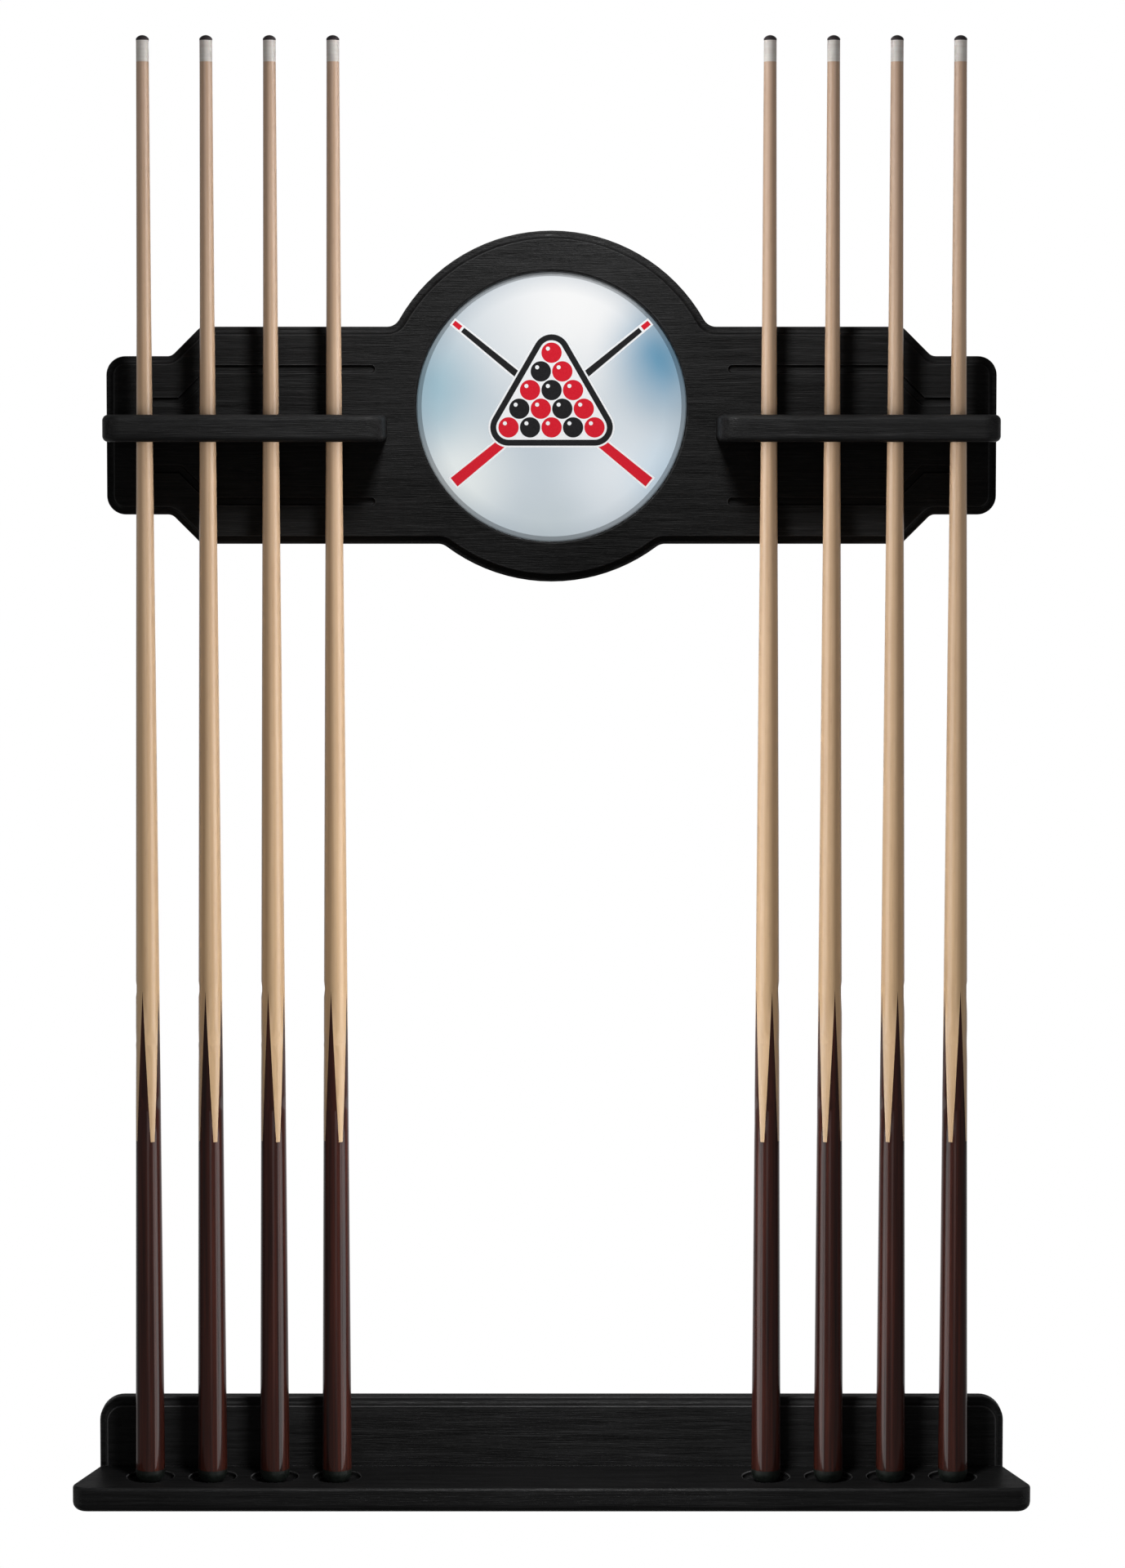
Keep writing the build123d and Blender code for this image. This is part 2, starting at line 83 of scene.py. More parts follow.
# ---- Light
AMBIENT = 0.07               # what diffuse rays see all round
BACKDROP = 1.0               # what the camera sees
GLOSS_DIM = 0.10             # what reflections see all round
GLOSS_BEHIND_CAMERA = 0.88   # what they see straight behind the camera
GLOSS_BEHIND_WALL = 0.55     # what they see low behind the wall plane
CAMERA_PATCH = (-0.965, -0.995)   # Y of the directions where that patch starts and is full
WALL_PATCH = (0.35, 0.95)
WALL_PATCH_TOP = (0.20, 0.06)     # Z of the directions where it starts and is full
LEFT_CUES, RIGHT_CUES = (1, 2, 3, 4), (5, 6, 7, 8)
CUE_LIGHT_DISTANCE = 1.2
CUE_KEY_ANGLE = math.radians(65)
CUE_SHEEN_ANGLE = math.radians(48)
CUE_GLOW_ANGLE = math.radians(75)


def make_world():
    """A white backdrop for the camera, dim surroundings, and two patches for reflections only."""
    world = bpy.data.worlds.new("studio")
    bpy.context.scene.world = world
    world.use_nodes = True
    tree = world.node_tree

    def add(kind, *inputs, **settings):
        node = tree.nodes.new(kind)
        for name, value in settings.items():
            setattr(node, name, value)
        for socket, value in zip(node.inputs, inputs):
            if isinstance(value, bpy.types.NodeSocket):
                tree.links.new(value, socket)
            elif value is not None:
                socket.default_value = value
        return node.outputs

    direction = add("ShaderNodeTexCoord")["Generated"]
    parts = add("ShaderNodeSeparateXYZ", direction)
    depth = parts["Y"]
    to_room = add("ShaderNodeMapRange", depth, *CAMERA_PATCH, 0, GLOSS_BEHIND_CAMERA - GLOSS_DIM)[0]
    to_wall = add("ShaderNodeMapRange", depth, *WALL_PATCH, 0, GLOSS_BEHIND_WALL - GLOSS_DIM)[0]
    below = add("ShaderNodeMapRange", parts["Z"], *WALL_PATCH_TOP, 0, 1)[0]
    to_wall = add("ShaderNodeMath", to_wall, below, operation="MULTIPLY")[0]
    gloss = add("ShaderNodeMath", to_room, to_wall, operation="ADD")[0]
    gloss = add("ShaderNodeMath", gloss, GLOSS_DIM, operation="ADD")[0]
    path = add("ShaderNodeLightPath")
    lit = add("ShaderNodeMix", path["Is Glossy Ray"], None, AMBIENT, gloss)[0]
    seen = add("ShaderNodeMix", path["Is Camera Ray"], None, lit, BACKDROP)[0]
    background = tree.nodes["Background"]
    background.inputs["Color"].default_value = (1, 1, 1, 1)
    tree.links.new(seen, background.inputs["Strength"])


def make_softbox(name, place, aim, size, watts, receivers=None, in_gloss=True, in_diffuse=True):
    """An area light; with receivers it lights only those objects."""
    data = bpy.data.lights.new(name, "AREA")
    data.shape = "RECTANGLE"
    data.size, data.size_y = size
    data.energy = watts
    light = bpy.data.objects.new(name, data)
    light.location = place
    light.rotation_euler = (Vector(aim) - Vector(place)).to_track_quat("-Z", "Y").to_euler()
    light.visible_camera = False
    light.visible_glossy = in_gloss
    light.visible_diffuse = in_diffuse
    bpy.context.scene.collection.objects.link(light)
    if receivers:
        lit = bpy.data.collections.new(f"{name}_receivers")
        for piece in receivers:
            lit.objects.link(piece)
        light.light_linking.receiver_collection = lit


def cue_nodes(numbers):
    """The nodes of some cues, and the middle of the group they make."""
    starts = tuple(f"cue_{number}_" for number in numbers)
    names = [name for name in frame["nodes"] if name.startswith(starts)]
    corners = [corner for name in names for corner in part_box(name)]
    middle = sum((Vector(corner) for corner in corners), Vector()) / len(corners)
    return [frame["nodes"][name] for name in names], middle


def beside(middle, side, angle):
    """A place in front of a point on one side, turned by an angle towards the other side."""
    away = Vector((-side * math.sin(angle), -math.cos(angle), 0))
    return middle + CUE_LIGHT_DISTANCE * away


def light_middle(upper, lower, cues, emblem, floor):
    """A key over each board and one on the emblem, and fills for the cues, the back and the floor."""
    make_softbox("upper_key", place=(0, -0.62, 1.62), aim=(0, 0, 1.05), size=(0.16, 0.16), watts=7.5,
                 receivers=upper)
    make_softbox("lower_key", place=(0, -0.62, 0.62), aim=(0, 0, 0), size=(0.20, 0.14), watts=8.5,
                 receivers=lower)
    make_softbox("emblem_key", place=(0, -1.2, 1.6), aim=(0, 0, 1.07), size=(0.6, 0.6), watts=18,
                 receivers=emblem, in_gloss=False)
    make_softbox("cue_fill", place=(0, -2.5, 0.72), aim=(0, 0, 0.72), size=(1.0, 1.6), watts=20.5,
                 receivers=cues, in_gloss=False)
    make_softbox("back_fill", place=(0, 2.2, 0.5), aim=(0, 0, 0.6), size=(2.0, 2.0), watts=30,
                 in_gloss=False)
    make_softbox("floor_fill", place=(0, -0.5, 2.6), aim=(0, -0.5, 0), size=(4.0, 4.0), watts=150,
                 receivers=[floor])


def light_cues(side, numbers):
    """Three tall panels for one side's cues: a key for their colour, and two that show in their gloss."""
    cues, middle = cue_nodes(numbers)
    middle.z = (CAD_LOW.z + CAD_HIGH.z) / 2
    make_softbox(f"cue_key_{side}", beside(middle, side, CUE_KEY_ANGLE), middle,
                 size=(0.25, 2.0), watts=17, receivers=cues, in_gloss=False)
    make_softbox(f"cue_sheen_{side}", beside(middle, side, CUE_SHEEN_ANGLE), middle,
                 size=(0.30, 2.4), watts=2.8, receivers=cues, in_diffuse=False)
    make_softbox(f"cue_glow_{side}", beside(middle, side, CUE_GLOW_ANGLE), middle,
                 size=(0.75, 2.4), watts=8, receivers=cues, in_diffuse=False)


def light_side(side, rack, glass):
    """A fill from one side, a pale panel for the mirror, and a small light on the lower board's end."""
    make_softbox(f"side_fill_{side}", place=(side * 2.6, 0.5, 0.75), aim=(0, 0, 0.75),
                 size=(1.0, 1.6), watts=12, in_gloss=False)
    make_softbox(f"mirror_sky_{side}", place=(side * 2.4, -2.2, 0.4), aim=(0, 0, 1.07),
                 size=(3.2, 4.4), watts=28, receivers=glass, in_diffuse=False)
    make_softbox(f"edge_{side}", place=(side * 1.5, -0.25, -0.06), aim=(side * 0.46, -0.01, 0.03),
                 size=(0.2, 0.1), watts=2, receivers=rack)


def make_lights(floor, emblem):
    """Every light; most are linked to the pieces they are meant for."""
    rack = [node for name, node in frame["nodes"].items() if not name.startswith("cue_")]
    upper = [node for node in rack if node.name.startswith(("upper", "mirror"))]
    lower = [node for node in rack if node.name.startswith("lower")]
    every_cue, _ = cue_nodes(LEFT_CUES + RIGHT_CUES)
    light_middle(upper, lower, every_cue, emblem, floor)
    for side, numbers in ((-1, LEFT_CUES), (1, RIGHT_CUES)):
        light_cues(side, numbers)
        light_side(side, rack, [frame["nodes"]["mirror_glass"]])


FLOOR_DROP = 0.22
FLOOR_HALF_WIDTH = 1.7
FLOOR_FRONT = -1.7
FLOOR_BACK = 0.42


def make_floor():
    """A pale floor below the rack; it ends a little behind the wall plane."""
    top = CAD_LOW.z - FLOOR_DROP
    mesh = bpy.data.meshes.new("floor")
    corners = [(-FLOOR_HALF_WIDTH, FLOOR_FRONT), (FLOOR_HALF_WIDTH, FLOOR_FRONT)]
    corners += [(FLOOR_HALF_WIDTH, FLOOR_BACK), (-FLOOR_HALF_WIDTH, FLOOR_BACK)]
    mesh.from_pydata([(x, y, top) for x, y in corners], [], [(0, 1, 2, 3)])
    floor = bpy.data.objects.new("floor", mesh)
    bpy.context.scene.collection.objects.link(floor)
    graph = Graph("floor_paint")
    tone = graph.noise(graph.place, 3, detail=4)
    graph.colour(graph.ramp(tone, [(0.3, (0.86, 0.86, 0.85)), (0.7, (0.90, 0.90, 0.89))]))
    graph.finish(roughness=0.75)
    mesh.materials.append(graph.material)
    floor.visible_diffuse = False
    floor.visible_glossy = False
    return floor


# ---- Material building
EDGE_FLAT, EDGE_SHARP = 0.998, 0.96   # cosines between the face's normal and its rounded one


class Graph:
    """A Principled material and short ways to add nodes to it."""

    def __init__(self, name):
        self.material = bpy.data.materials.new(name)
        self.material.use_nodes = True
        self.tree = self.material.node_tree
        self.shader = self.tree.nodes["Principled BSDF"]
        self.place = self.add("ShaderNodeTexCoord").outputs["Object"]

    def add(self, kind, inputs=None, **settings):
        node = self.tree.nodes.new(kind)
        for name, value in settings.items():
            setattr(node, name, value)
        for name, value in (inputs or {}).items():
            self.feed(node.inputs[name], value)
        return node

    def feed(self, socket, value):
        """Join a socket to another, or write a plain value on it."""
        if isinstance(value, bpy.types.NodeSocket):
            self.tree.links.new(value, socket)
        else:
            socket.default_value = value

    def stretch(self, scale):
        """The object's own coordinates, multiplied along each axis."""
        return self.add("ShaderNodeMapping", {"Vector": self.place, "Scale": scale}).outputs[0]

    def noise(self, vector, scale=1.0, detail=3.0, roughness=0.5, distortion=0.0):
        inputs = {"Vector": vector, "Scale": scale, "Detail": detail}
        inputs |= {"Roughness": roughness, "Distortion": distortion}
        return self.add("ShaderNodeTexNoise", inputs).outputs["Fac"]

    def ramp(self, factor, stops):
        node = self.add("ShaderNodeValToRGB", {"Fac": factor})
        elements = node.color_ramp.elements
        while len(elements) < len(stops):
            elements.new(0.5)
        for element, (position, colour) in zip(elements, stops):
            element.position = position
            element.color = (*colour, 1)
        return node.outputs["Color"]

    def span(self, value, low, high, to_low=0.0, to_high=1.0, **settings):
        """A value carried from one range to another, and held at its ends."""
        inputs = {"Value": value, "From Min": low, "From Max": high, "To Min": to_low, "To Max": to_high}
        return self.add("ShaderNodeMapRange", inputs, **settings).outputs[0]

    def math(self, operation, first, second):
        return self.add("ShaderNodeMath", {0: first, 1: second}, operation=operation).outputs[0]

    def mix(self, factor, first, second):
        """A blend of two colours, each a socket or three numbers; the Mix node's colours are 6, 7 and 2."""
        node = self.add("ShaderNodeMix", data_type="RGBA")
        self.feed(node.inputs[0], factor)
        for number, colour in ((6, first), (7, second)):
            plain = not isinstance(colour, bpy.types.NodeSocket)
            self.feed(node.inputs[number], (*colour, 1) if plain else colour)
        return node.outputs[2]

    def height(self):
        return self.add("ShaderNodeSeparateXYZ", {0: self.place}).outputs["Z"]

    def measure(self, operation, first, second):
        """A vector operation that gives one number."""
        inputs = {0: first, 1: second}
        return self.add("ShaderNodeVectorMath", inputs, operation=operation).outputs["Value"]

    def away(self, centre):
        """Distance from a point."""
        return self.measure("DISTANCE", self.place, centre)

    def near(self, centre, radius):
        """1 at a point, falling smoothly to 0 at a radius from it."""
        away = self.away(centre)
        return self.span(away, 0.0, radius, to_low=1.0, to_high=0.0, interpolation_type="SMOOTHSTEP")

    def edges(self, width):
        """1 on sharp edges, 0 on flat stretches."""
        soft = self.add("ShaderNodeBevel", {"Radius": width}, samples=4).outputs["Normal"]
        plain = self.add("ShaderNodeNewGeometry").outputs["Normal"]
        return self.span(self.measure("DOT_PRODUCT", soft, plain), EDGE_FLAT, EDGE_SHARP)

    def bump(self, height, distance, strength):
        inputs = {"Height": height, "Distance": distance, "Strength": strength}
        return self.add("ShaderNodeBump", inputs).outputs[0]

    def colour(self, socket):
        self.feed(self.shader.inputs["Base Color"], socket)

    def finish(self, normal=None, **values):
        """Write the shader's own sockets, such as roughness or coat_weight."""
        if normal is not None:
            self.feed(self.shader.inputs["Normal"], normal)
        for name, value in values.items():
            title = "Specular IOR Level" if name == "specular" else name.replace("_", " ").title()
            self.feed(self.shader.inputs[title], value)


# ---- Wood, painted and lacquered
PAINT_SPECULAR = 0.12
ARRIS_RADIUS = 1.1 * MM            # how far from an arris its painted highlight and rubbed paint reach
MAPLE_HEIGHTS = (0.35, 1.44)       # between these heights the maple turns from yellower to pinker and a little darker; the darkening is partly painted shade


def grey(value):
    return (value, value, 1.02 * value)


def fibres(graph, scale, wander=0.0):
    """A noise with a scale of its own, in cycles per metre, along each axis."""
    return graph.noise(graph.stretch(scale), detail=5, roughness=0.6, distortion=wander)


def black_paint(name, dark, light, arris, roughness):
    """Satin black paint over wood whose grain, along X, shows through, paler on the arrises: a painted
    highlight line, which also stands for paint rubbed thin there.
    """
    graph = Graph(name)
    bands = fibres(graph, (9, 260, 260), wander=0.6)
    pores = fibres(graph, (38, 1100, 1100))
    cloud = graph.noise(graph.place, 7, detail=3)
    tone = graph.math("ADD", graph.math("MULTIPLY", bands, 0.7), graph.math("MULTIPLY", cloud, 0.3))
    colour = graph.ramp(tone, [(0.36, grey(dark)), (0.64, grey(light))])
    streak = graph.span(fibres(graph, (14, 700, 700)), 0.58, 0.74, to_high=0.8)
    colour = graph.mix(streak, colour, grey(2.2 * light))
    # Painted highlight along the arrises, which also stands for rubbed paint.
    arris_highlight_and_wear = graph.math("MULTIPLY", graph.edges(ARRIS_RADIUS), graph.span(cloud, 0.35, 0.65, to_low=0.45))
    graph.colour(graph.mix(arris_highlight_and_wear, colour, grey(arris)))
    uneven = graph.span(pores, 0.3, 0.7, roughness + 0.10, roughness - 0.04)
    relief = graph.math("ADD", graph.math("MULTIPLY", bands, 0.6), graph.span(pores, 0.35, 0.6))
    normal = graph.bump(relief, 0.20 * MM, strength=0.8)
    graph.finish(normal=normal, roughness=uneven, specular=PAINT_SPECULAR)
    return graph.material


def maple():
    """Straight-grained maple under clear lacquer, pinker at the top of the cue and yellower below; it also
    turns a little darker towards the top, partly painted shade.
    """
    graph = Graph("maple_lacquered")
    grain = fibres(graph, (320, 320, 5))
    flecks = fibres(graph, (900, 900, 45))
    climb = graph.span(graph.height(), *MAPLE_HEIGHTS)
    low, middle, high = (0.64, 0.43, 0.235), (0.62, 0.42, 0.255), (0.56, 0.39, 0.295)
    base = graph.ramp(climb, [(0.0, low), (0.5, middle), (1.0, high)])
    grained = graph.mix(graph.span(grain, 0.35, 0.7, to_high=0.55), base, (0.47, 0.285, 0.15))
    graph.colour(graph.mix(graph.span(flecks, 0.60, 0.78, to_high=0.45), grained, (0.33, 0.18, 0.095)))
    graph.finish(normal=graph.bump(grain, 0.03 * MM, strength=0.4), roughness=0.42,
                 coat_weight=1.0, coat_roughness=0.24)
    return graph.material


def dark_butt():
    """Dark reddish brown wood under gloss lacquer."""
    graph = Graph("butt_lacquered")
    grain = fibres(graph, (210, 210, 4))
    pores = fibres(graph, (800, 800, 28))
    darkest, middle, palest = (0.013, 0.0036, 0.0028), (0.038, 0.0092, 0.0060), (0.072, 0.0160, 0.0095)
    base = graph.ramp(grain, [(0.32, darkest), (0.52, middle), (0.72, palest)])
    graph.colour(graph.mix(graph.span(pores, 0.6, 0.75, to_high=0.7), base, (0.012, 0.005, 0.004)))
    graph.finish(normal=graph.bump(grain, 0.02 * MM, strength=0.3), roughness=0.38, specular=0.2,
                 coat_weight=1.0, coat_roughness=0.08)
    return graph.material


def bare_wood(name, dark, light, scale):
    graph = Graph(name)
    grain = fibres(graph, scale)
    graph.colour(graph.ramp(grain, [(0.3, dark), (0.7, light)]))
    graph.finish(normal=graph.bump(grain, 0.15 * MM, strength=0.5), roughness=0.78)
    return graph.material


# ---- Cue fittings
def ferrule_plastic():
    graph = Graph("ferrule_ivory")
    rings = graph.noise(graph.stretch((30, 30, 420)), detail=2)
    stain = graph.noise(graph.place, 160, detail=4)
    clean = graph.ramp(rings, [(0.3, (0.62, 0.56, 0.52)), (0.7, (0.68, 0.64, 0.60))])
    graph.colour(graph.mix(graph.span(stain, 0.55, 0.75, to_high=0.35), clean, (0.44, 0.40, 0.37)))
    graph.finish(normal=graph.bump(rings, 0.02 * MM, strength=0.3), roughness=0.33, subsurface_weight=0.05)
    return graph.material


def tip_leather():
    graph = Graph("tip_leather")
    layers = graph.noise(graph.stretch((60, 60, 1500)), detail=3)
    pits = graph.noise(graph.place, 1500, detail=4, roughness=0.7)
    hide = graph.ramp(layers, [(0.3, (0.022, 0.016, 0.018)), (0.7, (0.048, 0.038, 0.042))])
    graph.colour(graph.mix(graph.span(pits, 0.55, 0.75, to_high=0.5), hide, (0.10, 0.10, 0.12)))
    graph.finish(normal=graph.bump(pits, 0.15 * MM, strength=0.7), roughness=0.72, sheen_weight=0.15)
    return graph.material


def bumper_rubber():
    graph = Graph("bumper_rubber")
    grime = graph.noise(graph.place, 120, detail=5, roughness=0.65)
    graph.colour(graph.ramp(grime, [(0.35, (0.004, 0.0055, 0.0045)), (0.7, (0.010, 0.013, 0.011))]))
    roughness = graph.span(grime, 0.3, 0.7, to_low=0.34, to_high=0.52)
    graph.finish(normal=graph.bump(grime, 0.05 * MM, strength=0.4), roughness=roughness)
    return graph.material


# ---- Metal
def brushed_metal(name, dark, light, scale):
    """Plated steel with fine scratches and a few dull spots."""
    graph = Graph(name)
    scratches = graph.noise(graph.stretch(scale), detail=4, roughness=0.7)
    spots = graph.noise(graph.place, 180, detail=4)
    plate = graph.ramp(scratches, [(0.3, dark), (0.7, light)])
    graph.colour(graph.mix(graph.span(spots, 0.6, 0.8, to_high=0.5), plate, tuple(0.55 * c for c in dark)))
    roughness = graph.span(spots, 0.3, 0.75, to_low=0.26, to_high=0.5)
    graph.finish(normal=graph.bump(scratches, 0.03 * MM, strength=0.5), roughness=roughness, metallic=1.0)
    return graph.material


# ---- Mirror
def mirror_silver(centre, radius):
    """Silver with a painted reflection of a soft sky in its colour: white above, pale below, blue at the
    left and the upper right, and painted shade towards the rim.
    """
    graph = Graph("mirror_silver")

    def patch(right, up, reach):
        """A soft round patch; its place and its reach are shares of the glass's radius."""
        point = centre + Vector((right * radius, 0, up * radius))
        return graph.near(tuple(point), reach * radius)

    # The sky colours and the haze are a painted reflection; rim_shade is painted shade.
    sky = graph.mix(patch(0.15, 0.70, 1.10), (0.60, 0.68, 0.74), (1.00, 1.00, 1.00))
    sky = graph.mix(patch(0.45, -0.45, 0.55), sky, (0.82, 0.88, 0.93))
    sky = graph.mix(patch(-0.70, -0.50, 0.62), sky, (0.90, 0.95, 0.94))
    sky = graph.mix(patch(-0.92, 0.12, 0.62), sky, (0.34, 0.54, 0.64))
    sky = graph.mix(patch(0.84, 0.34, 0.60), sky, (0.08, 0.29, 0.47))
    sky = graph.mix(patch(0.95, -0.55, 0.55), sky, (0.62, 0.80, 0.95))
    sky = graph.mix(patch(-0.05, -0.90, 0.45), sky, (0.58, 0.66, 0.70))
    rim_shade = graph.span(graph.away(centre), 0.80 * radius, 0.96 * radius, to_high=0.45)
    sky = graph.mix(rim_shade, sky, (0.30, 0.38, 0.45))
    haze = graph.noise(graph.place, 9, detail=3)
    graph.colour(graph.mix(graph.span(haze, 0.35, 0.75, to_high=0.22), sky, (0.86, 0.90, 0.93)))
    dust = graph.noise(graph.place, 260, detail=4)
    graph.finish(metallic=0.72, roughness=graph.span(dust, 0.4, 0.8, to_low=0.05, to_high=0.11))
    return graph.material


def print_ink(name, colour, rubbed):
    """Printed ink, a little uneven, with a soft sheen."""
    graph = Graph(name)
    speckle = graph.noise(graph.place, 700, detail=3)
    graph.colour(graph.ramp(speckle, [(0.3, colour), (0.75, rubbed)]))
    graph.finish(normal=graph.bump(speckle, 0.02 * MM, strength=0.3), roughness=0.45, specular=0.22)
    return graph.material


# ---- Materials on the CAD nodes
def dress_nodes():
    """Each node gets its slot's look, apart from the lower board and shelf, which have their own: copies of
    the paint with paler arrises, a painted highlight for their weaker light, and for the lower shelf a
    darker paint, painted shade.
    """
    low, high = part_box("mirror_glass")
    centre = (Vector(low) + Vector(high)) / 2
    board = black_paint("board_black", dark=0.0020, light=0.0130, arris=0.070, roughness=0.40)
    shelf = black_paint("shelf_black", dark=0.0080, light=0.0230, arris=0.110, roughness=0.34)
    # The lower copies carry painted light: paler arrises as painted highlight lines, and a darker lower
    # shelf as painted shade.
    lower_board = black_paint("lower_board_black", dark=0.0020, light=0.0125, arris=0.140, roughness=0.40)
    lower_shelf = black_paint("lower_shelf_black", dark=0.0035, light=0.0110, arris=0.140, roughness=0.34)
    own_looks = {"lower_board": lower_board, "lower_shelf": lower_shelf}
    zinc = brushed_metal("screw_zinc", (0.50, 0.46, 0.33), (0.74, 0.70, 0.56), (900, 900, 900))
    plate = brushed_metal("plate_zinc", (0.50, 0.51, 0.53), (0.74, 0.75, 0.77), (60, 400, 1600))
    looks = {
        "black_board_paint": board,
        "black_shelf_paint": shelf,
        "mirror": mirror_silver(centre, (high[0] - low[0]) / 2),
        "hardboard": bare_wood("hardboard_bare", (0.16, 0.085, 0.045), (0.30, 0.18, 0.10), (420, 420, 420)),
        "beech": bare_wood("beech_bare", (0.52, 0.36, 0.22), (0.72, 0.55, 0.37), (700, 60, 700)),
        "zinc_steel": zinc,
        "plate_steel": plate,
        "tip_leather": tip_leather(),
        "ferrule_plastic": ferrule_plastic(),
        "maple": maple(),
        "dark_butt_wood": dark_butt(),
        "bumper_rubber": bumper_rubber(),
    }
    for row in frame["record"]["subparts"]:
        look = own_looks.get(row["node"], looks[row["material_slot"]])
        for slot in frame["nodes"][row["node"]].material_slots:
            slot.material = look


# ---- Printed emblem: crossed cues behind a triangle of balls
INK_STEP = 0.03 * MM               # thickness of one layer of ink
OUTLINE = 1.8 * MM                 # white border round the cues and the triangle
BALL_RADIUS = 10.2 * MM
BALL_PITCH = 21.6 * MM
BALL_ROWS = 5
BALLS_LIFT = 4 * MM                # how far the balls' centroid stands above the mirror's middle
TRIANGLE_INSIDE = 2.2 * MM         # from the corner balls' edge to the triangle's inner edge
TRIANGLE_OUTSIDE = 8.2 * MM        # and to its outer edge
GLINT_RIGHT, GLINT_UP, GLINT_RADIUS = -0.36, 0.40, 0.20   # shares of a ball's radius
CUE_REACH = 98 * MM                # from the mirror's middle out to each end of a printed cue
BUTT_DROP, TIP_RISE = 76 * MM, 84 * MM
BUTT_WIDTH, TIP_WIDTH = 11 * MM, 5 * MM


def circle(centre, radius, corners=48):
    turns = [2 * math.pi * corner / corners for corner in range(corners)]
    return [(centre[0] + radius * math.cos(turn), centre[1] + radius * math.sin(turn)) for turn in turns]


def rounded_triangle(corners, radius, steps=14):
    """Outline round three points, given counterclockwise, at a distance from them."""
    outline = []
    for number, corner in enumerate(corners):
        before, after = Vector(corners[number - 1]), Vector(corners[(number + 1) % 3])
        here = Vector(corner)
        first = math.atan2((here - before).y, (here - before).x) - math.pi / 2
        last = math.atan2((after - here).y, (after - here).x) - math.pi / 2
        sweep = (last - first) % (2 * math.pi)
        for step in range(steps + 1):
            turn = first + sweep * step / steps
            outline.append((here.x + radius * math.cos(turn), here.y + radius * math.sin(turn)))
    return outline


class Print:
    """One ink of the emblem: flat shapes, each a thin prism in front of the glass."""

    def __init__(self, name, ink, centre, face):
        self.name, self.ink, self.centre, self.face = name, ink, centre, face
        self.mesh = bmesh.new()

    def point(self, place, layer):
        right, up = place
        return self.mesh.verts.new((self.centre.x + right, self.face - layer * INK_STEP, self.centre.z + up))

    def sides(self, outline, layer):
        """The outline's points on the front of a layer, and those on its back."""
        return [[self.point(place, layer + step) for place in outline] for step in (1, 0)]

    def shape(self, outline, layer):
        """A filled outline, given counterclockwise as seen from the room."""
        front, back = self.sides(outline, layer)
        self.mesh.faces.new(front)
        self.mesh.faces.new(list(reversed(back)))
        self.walls(front, back)

    def ring(self, outer, inner, layer):
        """The band between two outlines with the same number of points."""
        outer_front, outer_back = self.sides(outer, layer)
        inner_front, inner_back = self.sides(inner, layer)
        self.walls(outer_front, outer_back)
        self.walls(inner_back, inner_front)
        self.walls(inner_front, outer_front)
        self.walls(outer_back, inner_back)

    def walls(self, front, back):
        for number in range(len(front)):
            after = (number + 1) % len(front)
            self.mesh.faces.new([front[number], back[number], back[after], front[after]])

    def done(self):
        bmesh.ops.recalc_face_normals(self.mesh, faces=self.mesh.faces)
        data = bpy.data.meshes.new(self.name)
        self.mesh.to_mesh(data)
        self.mesh.free()
        data.materials.append(self.ink)
        piece = bpy.data.objects.new(self.name, data)
        bpy.context.scene.collection.objects.link(piece)
        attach(piece, "rack")
        return piece


def strip(start, end, start_width, end_width):
    """A tapered strip between two points, with its corners counterclockwise."""
    start, end = Vector(start), Vector(end)
    side = (end - start).normalized().orthogonal()
    corners = [start - side * start_width / 2, end - side * end_width / 2]
    corners += [end + side * end_width / 2, start + side * start_width / 2]
    area = sum(a.cross(b) for a, b in zip(corners, corners[1:] + corners[:1]))
    return [tuple(corner) for corner in (corners if area > 0 else reversed(corners))]


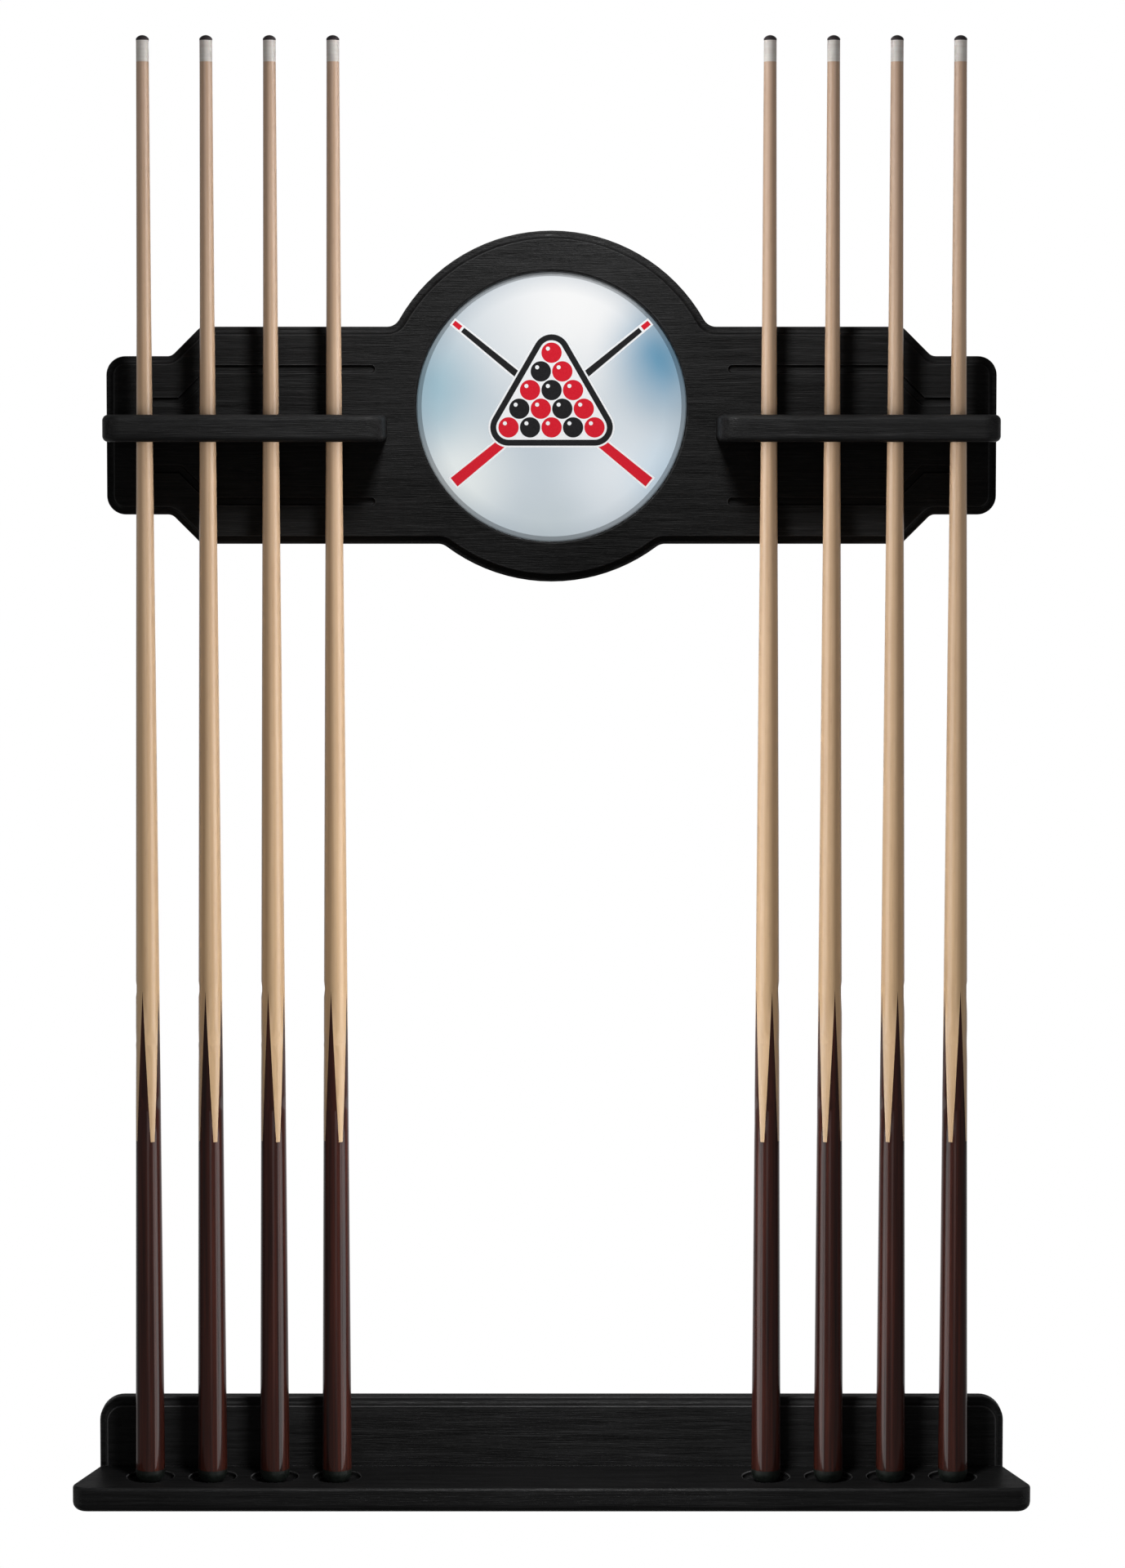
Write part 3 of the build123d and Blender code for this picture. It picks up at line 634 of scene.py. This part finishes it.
def crossed_cue(inks, side, layer):
    """A black cue from low on one side up to the other, with a red butt and tip, bordered in white."""
    butt, tip = Vector((side * CUE_REACH, -BUTT_DROP)), Vector((-side * CUE_REACH, TIP_RISE))
    run = (tip - butt).normalized()
    length = (tip - butt).length

    def width(share):
        return BUTT_WIDTH + (TIP_WIDTH - BUTT_WIDTH) * share

    def stretch(ink, from_share, to_share, level, grow=0.0):
        """One colour of the cue, between two shares of its length from the butt."""
        start, end = butt + run * (length * from_share - grow), butt + run * (length * to_share + grow)
        inks[ink].shape(strip(start, end, width(from_share) + 2 * grow, width(to_share) + 2 * grow), level)

    stretch("white", 0, 1, layer, grow=OUTLINE)
    stretch("red", 0, 0.28, layer + 1)
    stretch("black", 0.30, 0.955, layer + 1)
    stretch("red", 0.965, 1.0, layer + 1)


def ball_places():
    """Row, column and centre of each ball in a triangle with its apex up."""
    row_drop = BALL_PITCH * math.sqrt(3) / 2
    top = row_drop * (BALL_ROWS - 1) * 2 / 3 + BALLS_LIFT
    for row in range(BALL_ROWS):
        for column in range(row + 1):
            yield row, column, ((column - row / 2) * BALL_PITCH, top - row * row_drop)


def make_emblem():
    """The emblem's three inks, each one piece on the mirror."""
    low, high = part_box("mirror_glass")
    centre, face = (Vector(low) + Vector(high)) / 2, low[1]
    tones = {
        "white": ((0.80, 0.82, 0.84), (0.88, 0.89, 0.90)),
        "red": ((0.60, 0.012, 0.026), (0.66, 0.020, 0.036)),
        "black": ((0.011, 0.011, 0.012), (0.020, 0.020, 0.022)),
    }
    inks = {name: Print(f"emblem_{name}", print_ink(f"ink_{name}", *pair), centre, face)
            for name, pair in tones.items()}
    crossed_cue(inks, -1, layer=0)
    crossed_cue(inks, 1, layer=2)
    places = list(ball_places())
    corners = [places[0][2], places[-BALL_ROWS][2], places[-1][2]]
    inner, outer = BALL_RADIUS + TRIANGLE_INSIDE, BALL_RADIUS + TRIANGLE_OUTSIDE
    inks["white"].shape(rounded_triangle(corners, outer + OUTLINE), layer=4)
    inks["black"].ring(rounded_triangle(corners, outer), rounded_triangle(corners, inner), layer=5)
    for row, column, place in places:
        ink = "red" if (row + column) % 2 == 0 else "black"
        inks[ink].shape(circle(place, BALL_RADIUS), layer=5)
        glint = (place[0] + GLINT_RIGHT * BALL_RADIUS, place[1] + GLINT_UP * BALL_RADIUS)
        inks["white"].shape(circle(glint, GLINT_RADIUS * BALL_RADIUS, corners=20), layer=6)
    return [ink.done() for ink in inks.values()]


make_camera()
make_world()
dress_nodes()
make_lights(make_floor(), make_emblem())
bpy.context.scene.view_settings.view_transform = "Standard"
